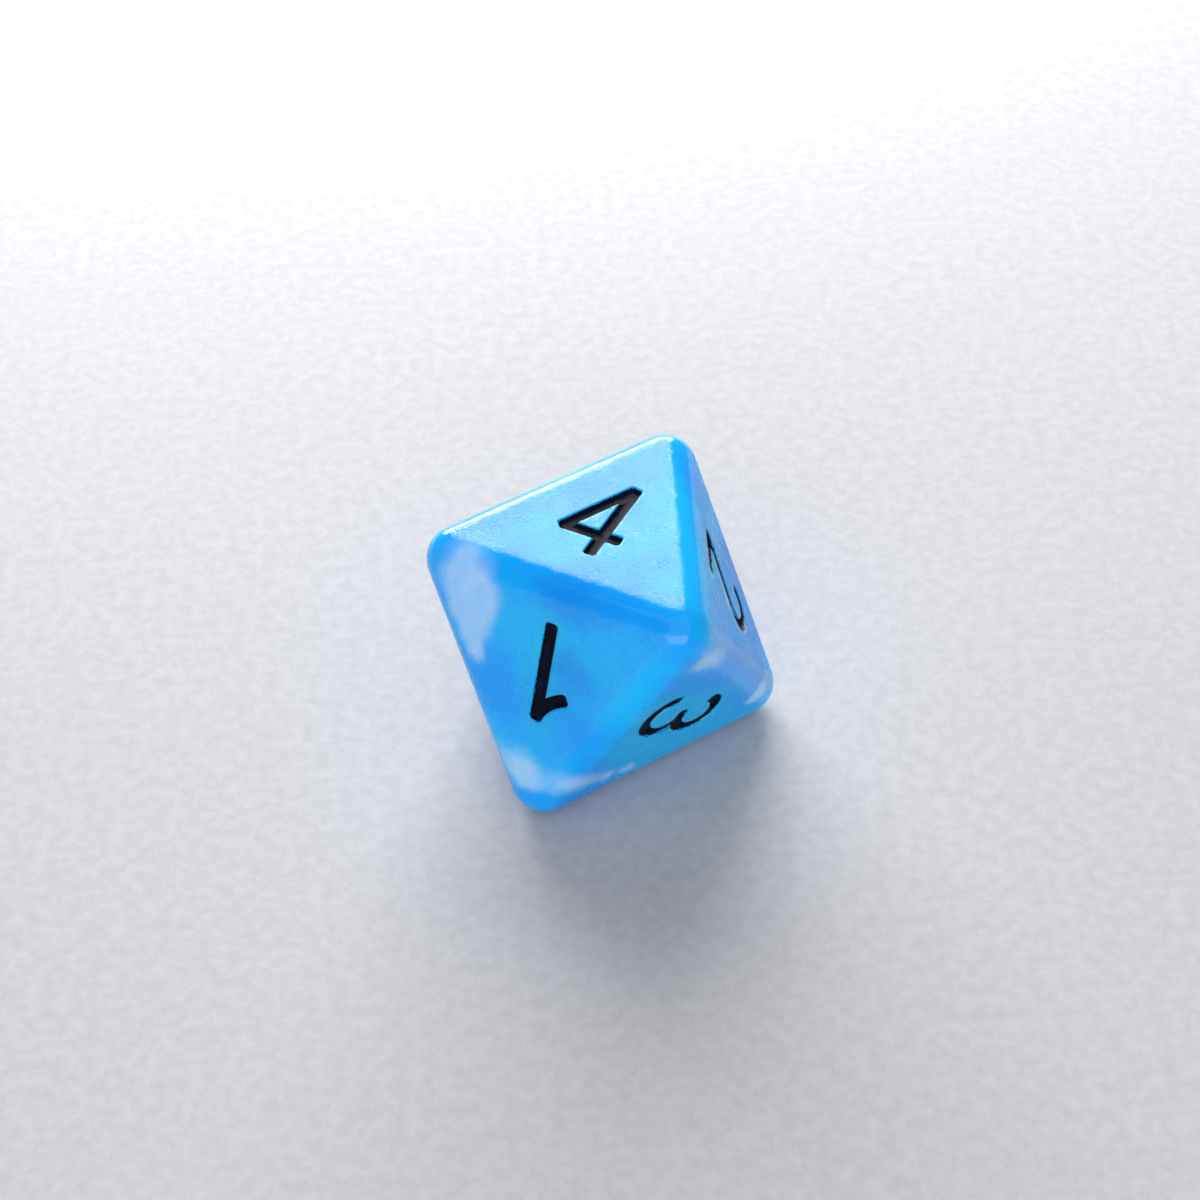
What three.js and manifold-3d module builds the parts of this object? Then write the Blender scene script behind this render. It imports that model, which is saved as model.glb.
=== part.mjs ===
// An eight-sided die: a solid resin octahedron with rounded edges and corners, a numeral
// engraved in each face, and a fill of paint lying in each numeral.
// Millimetres, +Z up. The die rests on its 5 face: the origin is the middle of that face,
// the 4 face is on top, and +X runs from corner to corner, the die's longest way.
import * as THREE from "three";
import { ConvexGeometry } from "three/addons/geometries/ConvexGeometry.js";
import { mergeVertices } from "three/addons/utils/BufferGeometryUtils.js";
import Module from "manifold-3d";

const wasm = await Module();
wasm.setup();

// Driving dimensions
const ACROSS_FACES = 15; // between any two opposite faces
const ROUNDING = 1.92; // radius of every edge and corner
const CORNER_STEPS = 10; // facets across one rounded corner
const NUMERAL_HEIGHT = 6.3; // outside height of a numeral
const STROKE_WIDTH = 0.74;
const STROKE_END_RADIUS = 0.22; // rounds the two corners of a stroke's end
const ENGRAVING_DEPTH = 0.5;
const PAINT_BELOW_FACE = 0.16; // the paint has shrunk to this depth as it dried
const PAINT_CLEARANCE = 0.02; // between the paint and the walls and floor of its numeral
const CUTTER_OVERSHOOT = 0.5; // how far an engraving cutter stands out of the face
const CURVE_STEPS = 9; // segments in a quarter of a round stroke
const END_STEPS = 3; // segments in each rounded corner of a stroke's end

// What follows from them
const CENTRE_HEIGHT = ACROSS_FACES / 2;
const SHARP_REACH = CENTRE_HEIGHT * Math.sqrt(3); // centre to a corner, were it not rounded
const ROUND_REACH = SHARP_REACH - ROUNDING * Math.sqrt(3); // centre to the middle of a rounding

// The die's own axes run through its corners: +X is the upper left corner, +Y the upper front
// one and +Z the upper back one, as they stand when the die rests on its 5 face.
const UPPER_LEFT = new THREE.Vector3(1, 0, 0);
const UPPER_FRONT = new THREE.Vector3(0, 1, 0);
const UPPER_BACK = new THREE.Vector3(0, 0, 1);
const LOWER_RIGHT = UPPER_LEFT.clone().negate();
const LOWER_BACK = UPPER_FRONT.clone().negate();
const LOWER_FRONT = UPPER_BACK.clone().negate();

// Each face lies between three corners, and its numeral's head points at the first of them.
// Opposite faces add up to nine. shift moves a numeral off the middle of its face, to its
// own right and towards its head.
const FACES = [
  { numeral: 1, corners: [LOWER_FRONT, UPPER_LEFT, UPPER_FRONT], shift: [-0.57, 0.3] },
  { numeral: 2, corners: [LOWER_RIGHT, UPPER_FRONT, UPPER_BACK], shift: [0.05, 0.05] },
  { numeral: 3, corners: [LOWER_RIGHT, LOWER_FRONT, UPPER_FRONT], shift: [-1.0, -0.1] },
  { numeral: 4, corners: [UPPER_BACK, UPPER_LEFT, UPPER_FRONT], shift: [-0.17, 0.6] },
  { numeral: 5, corners: [LOWER_FRONT, LOWER_RIGHT, LOWER_BACK], shift: [0.1, 0.2] },
  { numeral: 6, corners: [UPPER_LEFT, UPPER_BACK, LOWER_BACK], shift: [-0.1, 0.2] },
  { numeral: 7, corners: [UPPER_LEFT, LOWER_FRONT, LOWER_BACK], shift: [0, 0.1] },
  { numeral: 8, corners: [UPPER_BACK, LOWER_RIGHT, LOWER_BACK], shift: [0, 0.3] },
];

// A stroke starts here, in tenths of a numeral's height from the numeral's middle.
function from(x, y) {
  return new THREE.Path().moveTo(x, y);
}

// A round stroke about (x, y), turning clockwise from one angle to another, in degrees.
function round(x, y, radius, start, end) {
  return new THREE.Path().absarc(x, y, radius, rad(start), rad(end), true);
}

function rad(degrees) {
  return THREE.MathUtils.degToRad(degrees);
}

// The middle line of each numeral's strokes, in tenths of the numeral's height.
const HEAD = 4.4;
const FOOT = -4.4;
const LOW_FOOT = -4.7; // the 1 stands a little longer than the others
const NUMERALS = {
  1: () => [
    from(1.12, HEAD).lineTo(0.66, LOW_FOOT),
    from(1.15, HEAD).quadraticCurveTo(0.5, 2.75, -1.34, 1.95),
  ],
  2: () => [
    round(0.2, 2.2, 2.2, 165, -38).lineTo(-2.3, FOOT),
    from(-2.3, FOOT).lineTo(2.4, FOOT),
  ],
  3: () => [
    round(0.25, 2.3, 2.1, 165, -70).lineTo(-0.25, 0.1),
    round(-0.1, -2.0, 2.4, 70, -170),
  ],
  4: () => [
    from(1.15, HEAD).lineTo(1.15, FOOT),
    from(1.0, HEAD).lineTo(-2.7, -2.1),
    from(-2.6, -2.1).lineTo(2.7, -2.1),
  ],
  5: () => [
    from(2.1, HEAD).lineTo(-1.6, HEAD),
    from(-1.6, HEAD).lineTo(-2.0, -0.2),
    round(-0.1, -1.75, 2.65, 137, -160),
  ],
  6: () => [
    round(0, -2.0, 2.4, 180, 0),
    round(0, -2.0, 2.4, 0, -180),
    from(-2.4, -2.0).bezierCurveTo(-2.5, 1.4, -0.8, 3.9, 1.6, HEAD),
  ],
  7: () => [
    from(-2.5, HEAD).lineTo(2.4, HEAD),
    from(2.4, HEAD).quadraticCurveTo(0.1, 1.2, -0.9, FOOT),
  ],
  8: () => [
    round(0, 2.35, 2.05, 180, 0),
    round(0, 2.35, 2.05, 0, -180),
    round(0, -2.05, 2.35, 180, 0),
    round(0, -2.05, 2.35, 0, -180),
  ],
};

// The outline of a stroke: its middle line widened by half its width on each side, with
// squarish ends whose corners are rounded.
function strokeOutline(middleLine, halfWidth) {
  const line = middleLine.getPoints(CURVE_STEPS);
  line.forEach((p) => p.multiplyScalar(NUMERAL_HEIGHT / 10));
  const along = line.map((_, i) => {
    const ahead = line[Math.min(i + 1, line.length - 1)];
    const behind = line[Math.max(i - 1, 0)];
    return ahead.clone().sub(behind).normalize();
  });
  const leftOf = (way) => new THREE.Vector2(-way.y, way.x);
  const side = (sign) =>
    line.map((p, i) => p.clone().addScaledVector(leftOf(along[i]), sign * halfWidth));
  const end = (point, way) => {
    const corner = [];
    for (const sign of [1, -1]) {
      const middle = point
        .clone()
        .addScaledVector(leftOf(way), sign * (halfWidth - STROKE_END_RADIUS));
      for (let i = 0; i <= END_STEPS; i++) {
        const turn = (Math.PI / 2) * (sign > 0 ? 1 - i / END_STEPS : -i / END_STEPS);
        const out = way.clone().rotateAround(new THREE.Vector2(), turn);
        corner.push(middle.clone().addScaledVector(out, STROKE_END_RADIUS));
      }
    }
    return corner;
  };
  const last = line.length - 1;
  return new THREE.Shape([
    ...side(1).slice(1, -1),
    ...end(line[last], along[last]),
    ...side(-1).slice(1, -1).reverse(),
    ...end(line[0], along[0].clone().negate()),
  ]);
}

// A numeral's strokes as solids between two depths below its face, which is at z = 0.
function strokeSolids(numeral, halfWidth, floor, top) {
  return NUMERALS[numeral]().map((middleLine) => {
    const outline = strokeOutline(middleLine, halfWidth);
    const options = { depth: top - floor, bevelEnabled: false };
    return new THREE.ExtrudeGeometry(outline, options).translate(0, 0, floor);
  });
}

// Where a numeral stands: x to its right, y towards its head and z out of its face.
function numeralPlace({ corners, shift }) {
  const out = new THREE.Vector3();
  corners.forEach((c) => out.add(c));
  out.normalize();
  const up = corners[0].clone().projectOnPlane(out).normalize();
  const right = up.clone().cross(out);
  const place = new THREE.Matrix4().makeBasis(right, up, out);
  const middle = out.multiplyScalar(CENTRE_HEIGHT);
  middle.addScaledVector(right, shift[0]).addScaledVector(up, shift[1]);
  return place.setPosition(middle);
}

// The die before engraving: the smallest body around six spheres, one in each corner. A cube's
// surface, drawn in to a sphere, gives each corner the square patch of sphere that shows there.
function blank() {
  const cube = new THREE.BoxGeometry(1, 1, 1, CORNER_STEPS, CORNER_STEPS, CORNER_STEPS);
  const { position, normal } = cube.attributes;
  const points = [];
  for (let i = 0; i < position.count; i++) {
    const corner = new THREE.Vector3().fromBufferAttribute(normal, i);
    const out = new THREE.Vector3().fromBufferAttribute(position, i).normalize();
    points.push(corner.multiplyScalar(ROUND_REACH).addScaledVector(out, ROUNDING));
  }
  return new ConvexGeometry(points);
}

// three.js geometry to a solid that can be joined and cut, and back again.
function toSolid(geometry) {
  const bare = geometry.clone();
  bare.deleteAttribute("normal");
  bare.deleteAttribute("uv");
  const merged = mergeVertices(bare, 1e-5);
  return new wasm.Manifold(
    new wasm.Mesh({
      numProp: 3,
      vertProperties: new Float32Array(merged.attributes.position.array),
      triVerts: new Uint32Array(merged.index.array),
    }),
  );
}

function toGeometry(solid) {
  const { vertProperties, triVerts } = solid.getMesh();
  const geometry = new THREE.BufferGeometry()
    .setAttribute("position", new THREE.BufferAttribute(vertProperties, 3))
    .setIndex(new THREE.BufferAttribute(triVerts, 1))
    .toNonIndexed();
  geometry.computeVertexNormals();
  return geometry;
}

const resin = new THREE.MeshStandardMaterial({ color: 0x0aa0ee, roughness: 0.28, metalness: 0 });
const paint = new THREE.MeshStandardMaterial({ color: 0x03040c, roughness: 0.35, metalness: 0 });

// The resin casting, with all eight numerals cut into it.
function casting() {
  let solid = toSolid(blank());
  for (const face of FACES) {
    const place = numeralPlace(face);
    const halfWidth = STROKE_WIDTH / 2;
    const cutters = strokeSolids(face.numeral, halfWidth, -ENGRAVING_DEPTH, CUTTER_OVERSHOOT);
    for (const cutter of cutters) solid = solid.subtract(toSolid(cutter.applyMatrix4(place)));
  }
  const mesh = new THREE.Mesh(toGeometry(solid), resin);
  mesh.name = "resin_casting";
  return mesh;
}

// The paint lying in one numeral.
function paintFill(face) {
  const strokes = strokeSolids(
    face.numeral,
    STROKE_WIDTH / 2 - PAINT_CLEARANCE,
    PAINT_CLEARANCE - ENGRAVING_DEPTH,
    -PAINT_BELOW_FACE,
  ).map(toSolid);
  const joined = strokes.reduce((whole, stroke) => whole.add(stroke));
  const mesh = new THREE.Mesh(toGeometry(joined), paint);
  mesh.name = `paint_fill_${face.numeral}`;
  numeralPlace(face).decompose(mesh.position, mesh.quaternion, mesh.scale);
  return mesh;
}

// The die laid on its 5 face. Its corner axes stand three up and three down, a third of a turn
// apart seen from above, with the upper left corner over -X.
function standing(azimuth) {
  const level = Math.sqrt(2 / 3);
  const x = level * Math.cos(rad(azimuth));
  const y = level * Math.sin(rad(azimuth));
  return new THREE.Vector3(x, y, Math.sqrt(1 / 3));
}

const die = new THREE.Group();
die.add(casting(), ...FACES.map(paintFill));
die.quaternion.setFromRotationMatrix(
  new THREE.Matrix4().makeBasis(standing(180), standing(-60), standing(60)),
);
die.position.z = CENTRE_HEIGHT;

const part = new THREE.Group();
part.add(die);
export default part;
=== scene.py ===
"""An eight-sided die of cloudy blue resin with painted numerals, built around its CAD frame.

Shapes are worked out in millimetres in the CAD frame and turned to metres as they become
Blender meshes. The die rests on its 5 face, with the 4 face on top.
"""
import math

import bmesh
import bpy
import numpy as np
from mathutils import Matrix, Vector, noise
from mathutils.geometry import delaunay_2d_cdt


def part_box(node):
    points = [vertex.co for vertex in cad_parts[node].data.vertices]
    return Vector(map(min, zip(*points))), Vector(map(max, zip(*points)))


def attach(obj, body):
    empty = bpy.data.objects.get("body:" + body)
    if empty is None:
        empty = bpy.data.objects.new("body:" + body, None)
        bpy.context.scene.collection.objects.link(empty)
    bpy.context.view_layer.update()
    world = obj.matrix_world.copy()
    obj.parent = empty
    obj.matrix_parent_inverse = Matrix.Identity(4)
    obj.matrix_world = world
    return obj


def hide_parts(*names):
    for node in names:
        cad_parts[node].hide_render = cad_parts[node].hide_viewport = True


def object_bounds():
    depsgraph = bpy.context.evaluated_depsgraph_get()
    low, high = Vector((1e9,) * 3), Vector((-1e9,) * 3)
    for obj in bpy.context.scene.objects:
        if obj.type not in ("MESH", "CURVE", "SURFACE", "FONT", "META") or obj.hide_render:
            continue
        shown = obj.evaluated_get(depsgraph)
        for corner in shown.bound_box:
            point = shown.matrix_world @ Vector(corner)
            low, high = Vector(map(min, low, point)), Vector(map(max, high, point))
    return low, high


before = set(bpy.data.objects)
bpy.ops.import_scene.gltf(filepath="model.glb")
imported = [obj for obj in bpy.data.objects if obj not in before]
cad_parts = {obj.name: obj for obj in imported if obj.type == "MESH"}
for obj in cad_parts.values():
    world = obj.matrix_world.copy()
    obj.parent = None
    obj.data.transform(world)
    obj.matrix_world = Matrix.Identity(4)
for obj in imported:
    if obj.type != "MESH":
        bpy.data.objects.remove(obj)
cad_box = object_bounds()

MM = 0.001

# ---------------------------------------------------------------- sizes, from the frame
low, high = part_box("resin_casting")
ACROSS_FACES = (high.z - low.z) / MM
WIDTH = (high.x - low.x) / MM
LEVEL = math.sqrt(2 / 3)  # how far a corner reaches sideways, for each unit of its length
CENTRE = Vector((0, 0, ACROSS_FACES / 2))
SHARP_REACH = ACROSS_FACES * math.sqrt(3) / 2  # centre to a corner, were it not rounded
ROUNDING = (LEVEL * SHARP_REACH - WIDTH / 2) / (math.sqrt(2) - 1)
ROUND_REACH = SHARP_REACH - ROUNDING * math.sqrt(3)  # centre to the middle of a rounding

# The engraving, as the CAD cuts it
NUMERAL_HEIGHT = 6.3
HALF_STROKE = 0.37
STROKE_END_RADIUS = 0.22
DEPTH = 0.5

# What the CAD leaves out of it: a softened lip, a slight draft and a rounded floor
LIP = 0.10
DRAFT = 0.05
FLOOR_ROUND = 0.12
DULL_MARGIN = 0.08  # beyond the lip, where the gloss of the lip gives way to the dull face

# The paint, as it dried
PAINT_LEVELS = [0.015, -0.005, -0.03, -0.055, -0.085, -0.12, -0.17, -0.23]
PAINT_EDGE_DEPTH = 0.06
PAINT_SAG = 0.24
PAINT_TURN = 0.07  # how far inwards the paint takes to reach most of its sag
PAINT_GAP = 0.003  # the skin is this much shallower than the recess, and the paint this thick
PAINT_UNEVENNESS = 0.04
PAINT_WAVES, PAINT_RIPPLES = 1.1, 4.5  # how often its edge wavers, coarsely and finely
PAINT_SLIVER = 1e-3  # triangles that lie nearer the paint's edge on average are left out

# How far a ball of cloud is felt, as a share of the radius at which it shows
BALL_REACH = 1.75

# How finely the meshes are made
ROUND_STEPS = 18
EDGE_STEPS = 24
ARC_STEP = math.radians(4)
GRID = 0.055
INNER_RING = 0.965  # a second ring of points just inside a face's border, for even triangles
WELD = 1e-4
LIP_ANGLES = [math.radians(a) for a in (0, 18, 36, 54, 72, 90)]


def corner(azimuth):
    """The direction of an upper corner of the die."""
    angle = math.radians(azimuth)
    return Vector((LEVEL * math.cos(angle), LEVEL * math.sin(angle), math.sqrt(1 / 3)))


UPPER_LEFT, UPPER_FRONT, UPPER_BACK = corner(180), corner(-60), corner(60)
LOWER_RIGHT, LOWER_BACK, LOWER_FRONT = -UPPER_LEFT, -UPPER_FRONT, -UPPER_BACK
AXES = (UPPER_LEFT, UPPER_FRONT, UPPER_BACK)

# Each face's numeral, and its corners: the numeral's head points at the first of them.
FACES = {
    1: (LOWER_FRONT, UPPER_LEFT, UPPER_FRONT),
    2: (LOWER_RIGHT, UPPER_FRONT, UPPER_BACK),
    3: (LOWER_RIGHT, LOWER_FRONT, UPPER_FRONT),
    4: (UPPER_BACK, UPPER_LEFT, UPPER_FRONT),
    5: (LOWER_FRONT, LOWER_RIGHT, LOWER_BACK),
    6: (UPPER_LEFT, UPPER_BACK, LOWER_BACK),
    7: (UPPER_LEFT, LOWER_FRONT, LOWER_BACK),
    8: (UPPER_BACK, LOWER_RIGHT, LOWER_BACK),
}
FLAT_DIRECTIONS = [sum(corners, Vector()).normalized() for corners in FACES.values()]
DULL_TURN = 26  # degrees over which a rounding turns from a face's dull finish to gloss


# ---------------------------------------------------------------- numerals
# The middle lines of the strokes are drawn in tenths of a numeral's height, from its middle.
def arc(x, y, radius, start, end):
    """Points on a round stroke, turning clockwise between two angles in degrees."""
    first, last = math.radians(start), math.radians(end)
    count = max(2, math.ceil(abs(last - first) / ARC_STEP))
    angles = np.linspace(first, last, count + 1)
    return [(x + radius * math.cos(a), y + radius * math.sin(a)) for a in angles]


def curve(*controls):
    """Points on a Bezier curve with any number of control points."""
    line = []
    for t in np.linspace(0, 1, 17):
        row = [np.array(c, float) for c in controls]
        while len(row) > 1:
            row = [a * (1 - t) + b * t for a, b in zip(row, row[1:])]
        line.append(tuple(row[0]))
    return line


HEAD, FOOT, LOW_FOOT = 4.4, -4.4, -4.7
STROKES = {
    1: (
        [(1.12, HEAD), (0.66, LOW_FOOT)],
        curve((1.15, HEAD), (0.5, 2.75), (-1.34, 1.95)),
    ),
    2: (
        arc(0.2, 2.2, 2.2, 165, -38) + [(-2.3, FOOT)],
        [(-2.3, FOOT), (2.4, FOOT)],
    ),
    3: (
        arc(0.25, 2.3, 2.1, 165, -70) + [(-0.25, 0.1)],
        arc(-0.1, -2.0, 2.4, 70, -170),
    ),
    4: (
        [(1.15, HEAD), (1.15, FOOT)],
        [(1.0, HEAD), (-2.7, -2.1)],
        [(-2.6, -2.1), (2.7, -2.1)],
    ),
    5: (
        [(2.1, HEAD), (-1.6, HEAD)],
        [(-1.6, HEAD), (-2.0, -0.2)],
        arc(-0.1, -1.75, 2.65, 137, -160),
    ),
    6: (
        arc(0, -2.0, 2.4, 180, 0),
        arc(0, -2.0, 2.4, 0, -180),
        curve((-2.4, -2.0), (-2.5, 1.4), (-0.8, 3.9), (1.6, HEAD)),
    ),
    7: (
        [(-2.5, HEAD), (2.4, HEAD)],
        curve((2.4, HEAD), (0.1, 1.2), (-0.9, FOOT)),
    ),
    8: (
        arc(0, 2.35, 2.05, 180, 0),
        arc(0, 2.35, 2.05, 0, -180),
        arc(0, -2.05, 2.35, 180, 0),
        arc(0, -2.05, 2.35, 0, -180),
    ),
}


def stroke_distance(points, line):
    """How far points lie outside a stroke, and below zero inside it."""
    start, way = line[:-1], np.diff(line, axis=0)
    along = np.einsum("nmk,mk->nm", points[:, None] - start, way) / (way**2).sum(1)
    nearest = start + np.clip(along, 0, 1)[..., None] * way
    distance = np.linalg.norm(points[:, None] - nearest, axis=2).min(1) - HALF_STROKE
    for end, before in ((line[0], line[1]), (line[-1], line[-2])):
        out = (end - before) / np.linalg.norm(end - before)
        offset = points - end
        beyond = offset @ out
        aside = np.abs(offset @ np.array([-out[1], out[0]]))
        x = aside - (HALF_STROKE - STROKE_END_RADIUS)
        outside = np.hypot(np.maximum(x, 0), np.maximum(beyond, 0))
        squarish = outside + np.minimum(np.maximum(x, beyond), 0) - STROKE_END_RADIUS
        here = (beyond > -0.1) & (np.linalg.norm(offset, axis=1) < 3 * HALF_STROKE)
        distance = np.where(here, squarish, distance)
    return distance


def numeral_distance(points, numeral):
    lines = [np.array(s, float) * NUMERAL_HEIGHT / 10 for s in STROKES[numeral]]
    return np.min([stroke_distance(points, line) for line in lines], axis=0)


def level_line(field, xs, ys, level):
    """Points and edges of the line where a gridded field crosses a level."""
    inside = field < level
    points, edges, known = [], [], {}

    def crossing(a, b):
        if (a, b) not in known:
            t = (level - field[a]) / (field[b] - field[a])
            x = xs[a[0]] + (xs[b[0]] - xs[a[0]]) * t
            y = ys[a[1]] + (ys[b[1]] - ys[a[1]]) * t
            known[a, b] = len(points)
            points.append((x, y))
        return known[a, b]

    corners = np.stack([inside[:-1, :-1], inside[1:, :-1], inside[:-1, 1:], inside[1:, 1:]])
    for i, j in zip(*np.nonzero(corners.any(0) & ~corners.all(0))):
        ring = [(i, j), (i + 1, j), (i + 1, j + 1), (i, j + 1)]
        sides = [tuple(sorted((ring[k], ring[(k + 1) % 4]))) for k in range(4)]
        cuts = [crossing(a, b) for a, b in sides if inside[a] != inside[b]]
        edges += [cuts[k : k + 2] for k in range(0, len(cuts), 2)]
    return points, edges


def level_lines(numeral, levels, stray=None):
    """The lines around a numeral's strokes at each of several distances from them."""
    reach = NUMERAL_HEIGHT / 2 + 1
    xs = ys = np.arange(-reach, reach, GRID)
    gx, gy = np.meshgrid(xs, ys, indexing="ij")
    flat = np.stack([gx.ravel(), gy.ravel()], 1)
    field = numeral_distance(flat, numeral)
    if stray:
        field = field + stray(flat)
    field = field.reshape(gx.shape)
    points, edges = [], []
    for level in levels:
        more, joins = level_line(field, xs, ys, level)
        edges += [(a + len(points), b + len(points)) for a, b in joins]
        points += more
    return points, edges


def triangulate(points, edges):
    """Delaunay triangles that keep every given edge, inside the outermost loop."""
    inside_only, tolerance = 1, 1e-6
    result = delaunay_2d_cdt([Vector(p) for p in points], edges, [], inside_only, tolerance)
    return np.array([tuple(v) for v in result[0]]), [tuple(f) for f in result[2]]


def recess_profile():
    """Distances from the stroke's edge, and the engraving's depth at each of them."""
    lip = [(LIP * (1 - math.sin(a)), LIP * (1 - math.cos(a))) for a in LIP_ANGLES]
    floor = [
        (
            -DRAFT - FLOOR_ROUND * (1 - math.cos(a)),
            DEPTH - FLOOR_ROUND * (1 - math.sin(a)),
        )
        for a in LIP_ANGLES
    ]
    return np.array([(LIP + DULL_MARGIN, 0.0)] + lip + floor)


PROFILE = recess_profile()


def recess_depth(distance):
    return np.interp(distance, PROFILE[::-1, 0], PROFILE[::-1, 1])


class Face:
    """One flat face: where it is, and where its numeral stands on it."""

    def __init__(self, numeral):
        self.numeral = numeral
        self.corners = FACES[numeral]
        self.out = sum(self.corners, Vector()).normalized()
        head = self.corners[0]
        self.up = (head - self.out * head.dot(self.out)).normalized()
        self.right = self.up.cross(self.out)
        self.middle = CENTRE + self.out * (ACROSS_FACES / 2)
        self.shift = self.numeral_shift()

    def numeral_shift(self):
        """From the face's middle to the numeral's, found from the CAD's paint in it."""
        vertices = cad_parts[f"paint_fill_{self.numeral}"].data.vertices
        seen = np.array([self.flat(v.co / MM) for v in vertices])
        drawn = np.array(level_lines(self.numeral, [0])[0])
        middle = (seen.min(0) + seen.max(0)) / 2
        return middle - (drawn.min(0) + drawn.max(0)) / 2

    def flat(self, point):
        """A point's place across the face, to the numeral's right and towards its head."""
        offset = point - self.middle
        return offset.dot(self.right), offset.dot(self.up)

    def point(self, x, y, depth=0.0):
        return self.middle + self.right * x + self.up * y - self.out * depth


# ---------------------------------------------------------------- meshes
class Skin:
    """Points and faces of a mesh, in millimetres, with a number kept for each point."""

    def __init__(self):
        self.points, self.faces, self.values = [], [], []

    def add(self, points, faces, values):
        base = len(self.points)
        self.points += points
        self.values += values
        self.faces += [tuple(base + i for i in f) for f in faces]

    def add_grid(self, rows, values):
        """Quads over rows of points."""
        across = len(rows[0])
        quads = [
            (i * across + j, i * across + j + 1, (i + 1) * across + j + 1, (i + 1) * across + j)
            for i in range(len(rows) - 1)
            for j in range(across - 1)
        ]
        self.add([p for row in rows for p in row], quads, [v for row in values for v in row])

    def piece(self, name, material, attribute=None):
        """The Blender object, its points welded and its faces turned outwards."""
        mesh = bpy.data.meshes.new(name)
        mesh.from_pydata([p * MM for p in self.points], [], self.faces)
        if attribute:
            layer = mesh.attributes.new(attribute, "FLOAT", "POINT")
            layer.data.foreach_set("value", self.values)
        work = bmesh.new()
        work.from_mesh(mesh)
        bmesh.ops.remove_doubles(work, verts=work.verts, dist=WELD * MM)
        bmesh.ops.recalc_face_normals(work, faces=work.faces)
        for face in work.faces:
            face.smooth = True
        work.to_mesh(mesh)
        work.free()
        mesh.materials.append(material)
        piece = bpy.data.objects.new(name, mesh)
        bpy.context.scene.collection.objects.link(piece)
        return piece


def facing(a, b, c):
    """The direction (a, b, c) of the die's own axes."""
    return (AXES[0] * a + AXES[1] * b + AXES[2] * c).normalized()


def rounded(axis, out):
    """The point on the rounding of a corner that faces out."""
    return CENTRE + axis * ROUND_REACH + out * ROUNDING


def dullness(out):
    """1 where the skin faces as a flat face does, falling to 0 as it rounds away."""
    cosine = max(out.dot(f) for f in FLAT_DIRECTIONS)
    return max(0.0, 1 - math.degrees(math.acos(min(1.0, cosine))) / DULL_TURN)


def swing(step):
    """The slope of one of the equal turns across a rounding, from -1 to 1."""
    return math.tan((2 * step / ROUND_STEPS - 1) * math.pi / 4)


def directions(first, second, third, a, b, c):
    """Three numbers put in the order of the axes that they belong to."""
    slots = [0.0, 0.0, 0.0]
    slots[first], slots[second], slots[third] = a, b, c
    return slots


def add_corners(skin):
    steps = range(ROUND_STEPS + 1)
    for i in range(3):
        j, k = (i + 1) % 3, (i + 2) % 3
        for sign in (1, -1):
            ways = [
                [facing(*directions(i, j, k, sign, swing(u), swing(v))) for v in steps]
                for u in steps
            ]
            points = [[rounded(AXES[i] * sign, way) for way in row] for row in ways]
            skin.add_grid(points, [[dullness(way) for way in row] for row in ways])


def add_edges(skin):
    steps = range(EDGE_STEPS + 1)
    for i in range(3):
        j, k = (i + 1) % 3, (i + 2) % 3
        for sign_i, sign_j in ((1, 1), (1, -1), (-1, 1), (-1, -1)):
            rows, values = [], []
            for u in range(ROUND_STEPS + 1):
                way = facing(*directions(i, j, k, sign_i, sign_j, swing(u)))
                one = rounded(AXES[i] * sign_i, way)
                other = rounded(AXES[j] * sign_j, way)
                rows.append([one.lerp(other, s / EDGE_STEPS) for s in steps])
                values.append([dullness(way)] * len(steps))
            skin.add_grid(rows, values)


def add_face(skin, face):
    """A flat face with its numeral engraved. Its value is 1 where it is dull."""
    tips = [face.flat(CENTRE + c * ROUND_REACH + face.out * ROUNDING) for c in face.corners]
    points, edges = level_lines(face.numeral, PROFILE[:, 0])
    points = [(x + face.shift[0], y + face.shift[1]) for x, y in points]
    for scale in (1.0, INNER_RING):
        base = len(points)
        for a, b in zip(tips, tips[1:] + tips[:1]):
            for s in range(EDGE_STEPS):
                t = s / EDGE_STEPS
                x = (a[0] * (1 - t) + b[0] * t) * scale
                y = (a[1] * (1 - t) + b[1] * t) * scale
                points.append((x, y))
        count = 3 * EDGE_STEPS
        edges += [(base + s, base + (s + 1) % count) for s in range(count)]
    places, triangles = triangulate(points, edges)
    distance = numeral_distance(places - face.shift, face.numeral)
    depth = recess_depth(distance)
    dull = distance > LIP + DULL_MARGIN / 2
    skin.add(
        [face.point(x, y, d) for (x, y), d in zip(places, depth)],
        triangles,
        dull.astype(float).tolist(),
    )


def make_casting(faces, material):
    skin = Skin()
    add_corners(skin)
    add_edges(skin)
    for face in faces:
        add_face(skin, face)
    return skin.piece("cloudy_casting", material, "dull")


def paint_unevenness(points):
    """How far the paint's edge strays from the stroke's, at points across a face."""
    coarse = [noise.noise(Vector((x, y, 0.0)) * PAINT_WAVES) for x, y in points]
    fine = [noise.noise(Vector((x, y, 7.0)) * PAINT_RIPPLES) for x, y in points]
    return PAINT_UNEVENNESS * (np.array(coarse) + 0.5 * np.array(fine))


def rim_places(triangles):
    """The places on the open border of a sheet of triangles that all turn one way."""
    sides = {(t[i - 1], t[i]) for t in triangles for i in range(3)}
    return sorted({place for a, b in sides if (b, a) not in sides for place in (a, b)})


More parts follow.
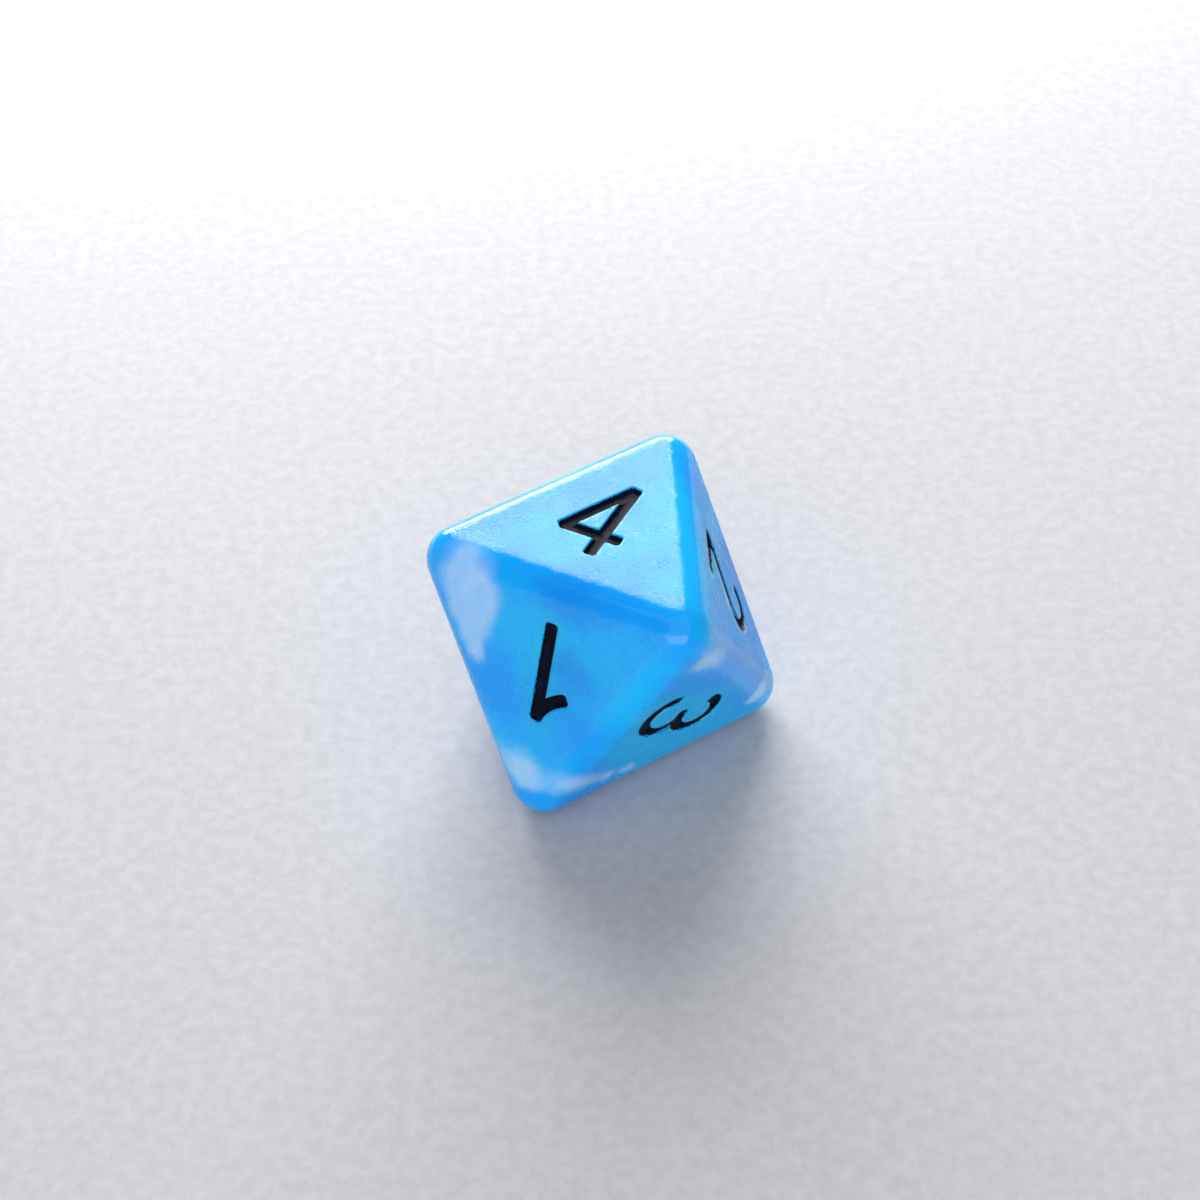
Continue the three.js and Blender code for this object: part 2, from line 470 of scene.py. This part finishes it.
def make_paint(face, material):
    """The paint in one numeral: it lines the engraving, and sags away from its lips."""
    points, edges = level_lines(face.numeral, PAINT_LEVELS, paint_unevenness)
    places, triangles = triangulate(points, edges)
    distance = numeral_distance(places, face.numeral)
    within = PAINT_LEVELS[0] - distance - paint_unevenness(places)
    kept = [t for t in triangles if within[list(t)].mean() > PAINT_SLIVER]
    sag = PAINT_EDGE_DEPTH + PAINT_SAG * (1 - np.exp(-np.maximum(within, 0) / PAINT_TURN))
    wall = recess_depth(distance) - PAINT_GAP
    upper = np.minimum(wall, sag)
    lower = np.maximum(wall, upper + PAINT_GAP)
    rim = rim_places(kept)
    lower[rim] = upper[rim]
    skin = Skin()
    for depth, faces in ((upper, kept), (lower, [t[::-1] for t in kept])):
        used = sorted({i for t in faces for i in t})
        renumber = {old: new for new, old in enumerate(used)}
        flat = [places[i] + face.shift for i in used]
        skin.add(
            [face.point(x, y, depth[i]) for (x, y), i in zip(flat, used)],
            [tuple(renumber[i] for i in t) for t in faces],
            [0.0] * len(used),
        )
    return skin.piece(f"dried_paint_{face.numeral}", material)


# ---------------------------------------------------------------- materials
def new_material(name):
    material = bpy.data.materials.new(name)
    material.use_nodes = True
    tree = material.node_tree
    return material, tree, tree.nodes["Principled BSDF"]


def node(tree, kind, inputs=None, **settings):
    made = tree.nodes.new(kind)
    for key, value in settings.items():
        setattr(made, key, value)
    for key, value in (inputs or {}).items():
        if isinstance(value, bpy.types.NodeSocket):
            tree.links.new(value, made.inputs[key])
        else:
            made.inputs[key].default_value = value
    return made


def math_node(tree, operation, a, b=0.0):
    return node(tree, "ShaderNodeMath", {0: a, 1: b}, operation=operation).outputs[0]


def vector_node(tree, operation, a, b):
    second = "Scale" if operation == "SCALE" else 1
    made = node(tree, "ShaderNodeVectorMath", {0: a, second: b}, operation=operation)
    return made.outputs["Value" if operation == "DISTANCE" else "Vector"]


def mix_colour(tree, share, a, b):
    made = node(tree, "ShaderNodeMix", {"Factor": share}, data_type="RGBA")
    for key, value in ((6, a), (7, b)):
        if isinstance(value, bpy.types.NodeSocket):
            tree.links.new(value, made.inputs[key])
        else:
            made.inputs[key].default_value = (*value, 1.0)
    return made.outputs[2]


def ramp(tree, value, low_in, high_in, low_out=0.0, high_out=1.0):
    inputs = {0: value, 1: low_in, 2: high_in, 3: low_out, 4: high_out}
    return node(tree, "ShaderNodeMapRange", inputs, interpolation_type="SMOOTHSTEP").outputs[0]


def noise_node(tree, point, scale, detail=2.0, roughness=0.5):
    inputs = {"Vector": point, "Scale": scale, "Detail": detail, "Roughness": roughness}
    return node(tree, "ShaderNodeTexNoise", inputs)


def millimetres(tree):
    """Places on the object, in millimetres."""
    place = node(tree, "ShaderNodeTexCoord").outputs["Object"]
    return vector_node(tree, "SCALE", place, 1 / MM)


def blobs(tree, point, places, low, high):
    """0 away from all the balls and 1 well inside them; nearby balls run together."""
    total = 0.0
    for centre, radius in places:
        away = vector_node(tree, "DISTANCE", point, tuple(CENTRE + centre * SHARP_REACH))
        total = math_node(tree, "ADD", total, ramp(tree, away, BALL_REACH * radius, 0))
    return ramp(tree, total, low, high)


def streak(start, end, start_radius, end_radius, count):
    """A row of balls from one place to another, each with its radius."""
    shares = np.linspace(0, 1, count)
    return [(start.lerp(end, t), start_radius * (1 - t) + end_radius * t) for t in shares]


# Milky clouds near the skin: where they lie between the die's corners, and how wide they are.
CLOUDS = (
    # down the 1 face from the upper left corner, narrowing
    streak(
        UPPER_LEFT * 0.77 + UPPER_FRONT * 0.17 + LOWER_FRONT * 0.06,
        UPPER_LEFT * 0.54 + UPPER_FRONT * 0.08 + LOWER_FRONT * 0.38,
        1.8, 0.7, 5,
    )
    # at the lower front corner, on the 1 face and then on the 3 face
    + streak(
        UPPER_LEFT * 0.20 + UPPER_FRONT * 0.07 + LOWER_FRONT * 0.73,
        UPPER_LEFT * 0.12 + UPPER_FRONT * 0.12 + LOWER_FRONT * 0.76,
        1.3, 0.9, 2,
    )
    + streak(
        LOWER_FRONT * 0.78 + UPPER_FRONT * 0.22,
        LOWER_FRONT * 0.57 + UPPER_FRONT * 0.13 + LOWER_RIGHT * 0.30,
        1.0, 0.65, 4,
    )
    # under the upper front corner, and at the right corner
    + streak(
        UPPER_FRONT * 0.78 + LOWER_FRONT * 0.08 + LOWER_RIGHT * 0.14,
        UPPER_FRONT * 0.73 + LOWER_FRONT * 0.03 + LOWER_RIGHT * 0.24,
        0.9, 1.2, 2,
    )
    + streak(
        UPPER_FRONT * 0.20 + LOWER_FRONT * 0.08 + LOWER_RIGHT * 0.72,
        UPPER_FRONT * 0.22 + LOWER_FRONT * 0.01 + LOWER_RIGHT * 0.77,
        0.5, 0.9, 3,
    )
    # beside the 2
    + streak(
        UPPER_FRONT * 0.39 + UPPER_BACK * 0.38 + LOWER_RIGHT * 0.23,
        UPPER_FRONT * 0.43 + UPPER_BACK * 0.24 + LOWER_RIGHT * 0.33,
        0.55, 0.6, 3,
    )
    # on the faces behind and below
    + streak(
        UPPER_BACK * 0.50 + LOWER_BACK * 0.38 + LOWER_RIGHT * 0.12,
        UPPER_BACK * 0.12 + LOWER_BACK * 0.48 + LOWER_RIGHT * 0.40,
        1.9, 0.9, 6,
    )
    + streak(
        UPPER_LEFT * 0.15 + UPPER_BACK * 0.25 + LOWER_BACK * 0.60,
        UPPER_LEFT * 0.60 + UPPER_BACK * 0.22 + LOWER_BACK * 0.18,
        1.5, 0.6, 6,
    )
    + streak(
        UPPER_LEFT * 0.30 + LOWER_FRONT * 0.12 + LOWER_BACK * 0.58,
        UPPER_LEFT * 0.18 + LOWER_FRONT * 0.50 + LOWER_BACK * 0.32,
        1.6, 0.8, 5,
    )
    + streak(
        LOWER_FRONT * 0.20 + LOWER_BACK * 0.20 + LOWER_RIGHT * 0.60,
        LOWER_FRONT * 0.45 + LOWER_BACK * 0.10 + LOWER_RIGHT * 0.45,
        1.4, 0.8, 5,
    )
)
# Where the resin is painted a deeper blue: zones along the edge between the 4 and 1 faces and on
# the 1 face, a few on the hidden faces, and a painted shade over the 2 face towards the lower
# right corner, the side turned from the light.
DEEP_ZONES_AND_SHADE = (
    streak(
        UPPER_LEFT * 0.56 + UPPER_FRONT * 0.44,
        UPPER_LEFT * 0.34 + UPPER_FRONT * 0.60 + LOWER_FRONT * 0.06,
        1.5, 1.5, 3,
    )
    + streak(
        UPPER_LEFT * 0.30 + LOWER_FRONT * 0.27 + UPPER_FRONT * 0.43,
        UPPER_LEFT * 0.20 + LOWER_FRONT * 0.33 + UPPER_FRONT * 0.47,
        1.1, 1.4, 2,
    )
    + streak(
        UPPER_BACK * 0.45 + UPPER_FRONT * 0.15 + LOWER_RIGHT * 0.40,
        UPPER_FRONT * 0.25 + LOWER_FRONT * 0.05 + LOWER_RIGHT * 0.70,
        2.0, 2.4, 3,
    )
    + [
        (UPPER_LEFT * 0.55 + UPPER_BACK * 0.25 + LOWER_BACK * 0.20, 2.2),
        (LOWER_FRONT * 0.45 + LOWER_BACK * 0.35 + UPPER_LEFT * 0.20, 2.2),
        (UPPER_BACK * 0.70 + LOWER_BACK * 0.15 + LOWER_RIGHT * 0.15, 1.8),
    ]
)
AZURE = (0.000, 0.330, 0.940)
CYAN = (0.000, 0.460, 0.970)
DEEP_BLUE = (0.000, 0.215, 0.760)
MILK = (0.380, 0.640, 0.950)
NAVY = (0.003, 0.010, 0.060)
BLACK_PAINT = (0.0012, 0.0018, 0.010)
THIN_PAINT = (0.002, 0.008, 0.050)
PALE_PAPER = (0.52, 0.52, 0.54)
PAPER_FIBRES = (0.46, 0.46, 0.48)

# How the resin's pattern is made: scales are in waves for each millimetre
DRIFT_SCALE, DRIFT = 0.35, 1.7  # zones and clouds are pulled about within this many millimetres
MOTTLE_SCALE = 0.16
WISP_SCALE = 0.9
CLOUD_COVER = (0.76, 0.92)
DEEP_SHARE = 0.5
SPECK_SCALE, SPECK_SHARE = 0.42, 0.7
SPECK_EDGE = (0.034, 0.018)
RAGGEDNESS = 2.2
FROSTED_ROUGHNESS = (0.26, 0.38)
GLOSSY_ROUGHNESS = (0.09, 0.15)
SCRATCH_DEPTH = 0.15  # as a share of the grain's
GRAIN_DEPTH = 0.06


def scratches(tree, point, turn, width, length, cover):
    """Fine hairlines that run one way across the faces."""
    inputs = {"Vector": point, "Rotation": turn, "Scale": (width, length, length)}
    stretched = node(tree, "ShaderNodeMapping", inputs, vector_type="TEXTURE").outputs[0]
    lines = noise_node(tree, stretched, 1.0, 1.0).outputs[0]
    return ramp(tree, lines, 1 - cover, 1 - cover + 0.05)


def resin_colour(tree, point):
    """Azure that drifts to cyan, with deeper zones (over the 2 face a painted shade), milky
    clouds and a few dark specks.
    """
    drift = noise_node(tree, point, DRIFT_SCALE, 2.0).outputs["Color"]
    drift = vector_node(tree, "SUBTRACT", drift, (0.5, 0.5, 0.5))
    drifted = vector_node(tree, "ADD", point, vector_node(tree, "SCALE", drift, DRIFT))

    mottle = noise_node(tree, point, MOTTLE_SCALE, 3.0).outputs[0]
    colour = mix_colour(tree, ramp(tree, mottle, 0.35, 0.65), AZURE, CYAN)
    # Deeper blue zones; over the 2 face and towards the lower right corner this is painted shade.
    deep_and_shade = blobs(tree, drifted, DEEP_ZONES_AND_SHADE, 0.05, 1.3)
    deep_and_shade = math_node(tree, "MULTIPLY", deep_and_shade, DEEP_SHARE)
    colour = mix_colour(tree, deep_and_shade, colour, DEEP_BLUE)
    wisps = noise_node(tree, drifted, WISP_SCALE, 3.0).outputs[0]
    wisps = ramp(tree, wisps, 0.3, 0.7, *CLOUD_COVER)
    cloud = math_node(tree, "MULTIPLY", blobs(tree, drifted, CLOUDS, 0.08, 1.25), wisps)
    colour = mix_colour(tree, cloud, colour, MILK)

    cells = node(tree, "ShaderNodeTexVoronoi", {"Vector": point, "Scale": SPECK_SCALE})
    speck = ramp(tree, cells.outputs["Distance"], *SPECK_EDGE)
    return mix_colour(tree, math_node(tree, "MULTIPLY", speck, SPECK_SHARE), colour, NAVY)


def dull_share(tree, point):
    """1 on the dull flats and 0 on the glossy roundings and lips, with a ragged border."""
    flatness = node(tree, "ShaderNodeAttribute", attribute_name="dull").outputs["Fac"]
    ragged = noise_node(tree, point, 1.6, 6.0, 0.85).outputs[0]
    ragged = math_node(tree, "MULTIPLY", ragged, RAGGEDNESS)
    return ramp(tree, math_node(tree, "ADD", flatness, ragged), 1.55, 1.95)


def resin_roughness(tree, point, dull):
    patchy = noise_node(tree, point, 0.8, 4.0).outputs[0]
    frosted = ramp(tree, patchy, 0.3, 0.7, *FROSTED_ROUGHNESS)
    glossy = ramp(tree, patchy, 0.3, 0.7, *GLOSSY_ROUGHNESS)
    return node(tree, "ShaderNodeMix", {"Factor": dull, 2: glossy, 3: frosted}).outputs[0]


def resin_relief(tree, point, dull):
    """The grain of the dull flats, with two sets of hairline scratches across it."""
    grain = noise_node(tree, point, 5.0, 4.0, 0.8).outputs[0]
    grain = math_node(tree, "SUBTRACT", grain, 0.5)
    hairs = scratches(tree, point, (0.3, 0.5, 0.4), 0.08, 3.5, 0.36)
    crossed = scratches(tree, point, (1.1, 0.2, 1.9), 0.07, 2.5, 0.35)
    marks = math_node(tree, "MAXIMUM", hairs, crossed)
    marks = math_node(tree, "MULTIPLY", marks, SCRATCH_DEPTH)
    height = math_node(tree, "MULTIPLY", math_node(tree, "SUBTRACT", grain, marks), dull)
    inputs = {"Height": height, "Strength": 1.0, "Distance": GRAIN_DEPTH * MM}
    return node(tree, "ShaderNodeBump", inputs).outputs[0]


def resin_material():
    material, tree, shader = new_material("cloudy_azure_resin")
    point = millimetres(tree)
    dull = dull_share(tree, point)
    tree.links.new(resin_colour(tree, point), shader.inputs["Base Color"])
    tree.links.new(resin_roughness(tree, point, dull), shader.inputs["Roughness"])
    tree.links.new(resin_relief(tree, point, dull), shader.inputs["Normal"])
    shader.inputs["IOR"].default_value = 1.5
    shader.inputs["Specular IOR Level"].default_value = 0.38
    shader.inputs["Subsurface Weight"].default_value = 0.5
    shader.inputs["Subsurface Radius"].default_value = (0.25, 0.7, 1.0)
    shader.inputs["Subsurface Scale"].default_value = 2.5 * MM
    return material


def paint_material():
    material, tree, shader = new_material("black_numeral_paint")
    point = millimetres(tree)
    thin = ramp(tree, noise_node(tree, point, 1.7, 4.0).outputs[0], 0.5, 0.8)
    colour = mix_colour(tree, thin, BLACK_PAINT, THIN_PAINT)
    tree.links.new(colour, shader.inputs["Base Color"])
    sheen = ramp(tree, noise_node(tree, point, 2.6, 3.0).outputs[0], 0.3, 0.7, 0.30, 0.45)
    tree.links.new(sheen, shader.inputs["Roughness"])
    skin = noise_node(tree, point, 4.5, 4.0, 0.6).outputs[0]
    bump = node(tree, "ShaderNodeBump", {"Height": skin, "Strength": 0.5, "Distance": 0.03 * MM})
    tree.links.new(bump.outputs[0], shader.inputs["Normal"])
    shader.inputs["Specular IOR Level"].default_value = 0.06
    return material


def floor_material():
    material, tree, shader = new_material("pale_paper")
    point = millimetres(tree)
    tooth = noise_node(tree, point, 1.2, 5.0, 0.6).outputs[0]
    colour = mix_colour(tree, ramp(tree, tooth, 0.3, 0.7), PAPER_FIBRES, PALE_PAPER)
    tree.links.new(colour, shader.inputs["Base Color"])
    bump = node(tree, "ShaderNodeBump", {"Height": tooth, "Strength": 0.25, "Distance": 0.1 * MM})
    tree.links.new(bump.outputs[0], shader.inputs["Normal"])
    shader.inputs["Roughness"].default_value = 0.8
    return material


# ---------------------------------------------------------------- stage, lights, camera
FLOOR_HALF_WIDTH = 1.2  # metres
FLOOR_GAP = 0.01  # millimetres under the die


def make_floor():
    work = bmesh.new()
    bmesh.ops.create_grid(work, x_segments=8, y_segments=8, size=FLOOR_HALF_WIDTH)
    mesh = bpy.data.meshes.new("floor")
    work.to_mesh(mesh)
    work.free()
    mesh.materials.append(floor_material())
    floor = bpy.data.objects.new("floor", mesh)
    floor.location.z = cad_box[0][2] - FLOOR_GAP * MM
    bpy.context.scene.collection.objects.link(floor)


def from_die(azimuth, elevation, distance):
    """A place around the die: azimuth 0 is in front, 90 to the right and 180 behind."""
    a, e = math.radians(azimuth), math.radians(elevation)
    way = Vector((math.sin(a) * math.cos(e), -math.cos(a) * math.cos(e), math.sin(e)))
    return (CENTRE + way * distance) * MM


def make_light(name, azimuth, elevation, distance, size, power):
    data = bpy.data.lights.new(name, "AREA")
    data.shape = "RECTANGLE"
    data.size, data.size_y = size[0] * MM, size[1] * MM
    data.energy = power
    light = bpy.data.objects.new(name, data)
    light.location = from_die(azimuth, elevation, distance)
    towards = CENTRE * MM - light.location
    light.rotation_euler = towards.to_track_quat("-Z", "Y").to_euler()
    bpy.context.scene.collection.objects.link(light)


def make_lights():
    world = bpy.data.worlds.new("studio")
    world.use_nodes = True
    background = world.node_tree.nodes["Background"]
    background.inputs["Color"].default_value = (0.93, 0.96, 1.0, 1.0)
    background.inputs["Strength"].default_value = 0.28
    bpy.context.scene.world = world
    make_light("back", 186, 19, 260, (240, 105), 1.05)
    make_light("sheen", 182, 45, 300, (210, 120), 0.50)
    make_light("key", 10, 58, 420, (560, 560), 0.55)
    make_light("front_fill", -8, 15, 340, (480, 160), 0.72)


CAMERA_DISTANCE = 144.3
CAMERA_RISE = 43.5  # degrees
CAMERA_ROLL = -3.2  # degrees
CAMERA_LEFT, CAMERA_LIFT = 0.26, 1.24  # how far its axis passes beside the die's middle


def make_camera():
    """In front of the die, raised and rolled a little, aiming just above the die's middle."""
    elevation, roll = math.radians(CAMERA_RISE), math.radians(CAMERA_ROLL)
    back = Vector((0, -math.cos(elevation), math.sin(elevation)))
    level = Vector((1, 0, 0))
    right = level * math.cos(roll) + back.cross(level) * math.sin(roll)
    up = back.cross(right)
    place = CENTRE + back * CAMERA_DISTANCE - right * CAMERA_LEFT + up * CAMERA_LIFT
    data = bpy.data.cameras.new("camera")
    data.sensor_width, data.lens = 36, 75
    data.clip_start = 0.005
    camera = bpy.data.objects.new("camera", data)
    turn = Matrix((right, up, back)).transposed().to_4x4()
    camera.matrix_world = Matrix.Translation(place * MM) @ turn
    bpy.context.scene.collection.objects.link(camera)
    bpy.context.scene.camera = camera


# ---------------------------------------------------------------- the die
make_camera()
make_lights()
make_floor()
bpy.context.scene.view_settings.view_transform = "Standard"

faces = [Face(numeral) for numeral in FACES]
casting = make_casting(faces, resin_material())
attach(casting, "root")
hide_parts("resin_casting")

black = paint_material()
for face in faces:
    paint = make_paint(face, black)
    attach(paint, "root")
    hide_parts(f"paint_fill_{face.numeral}")
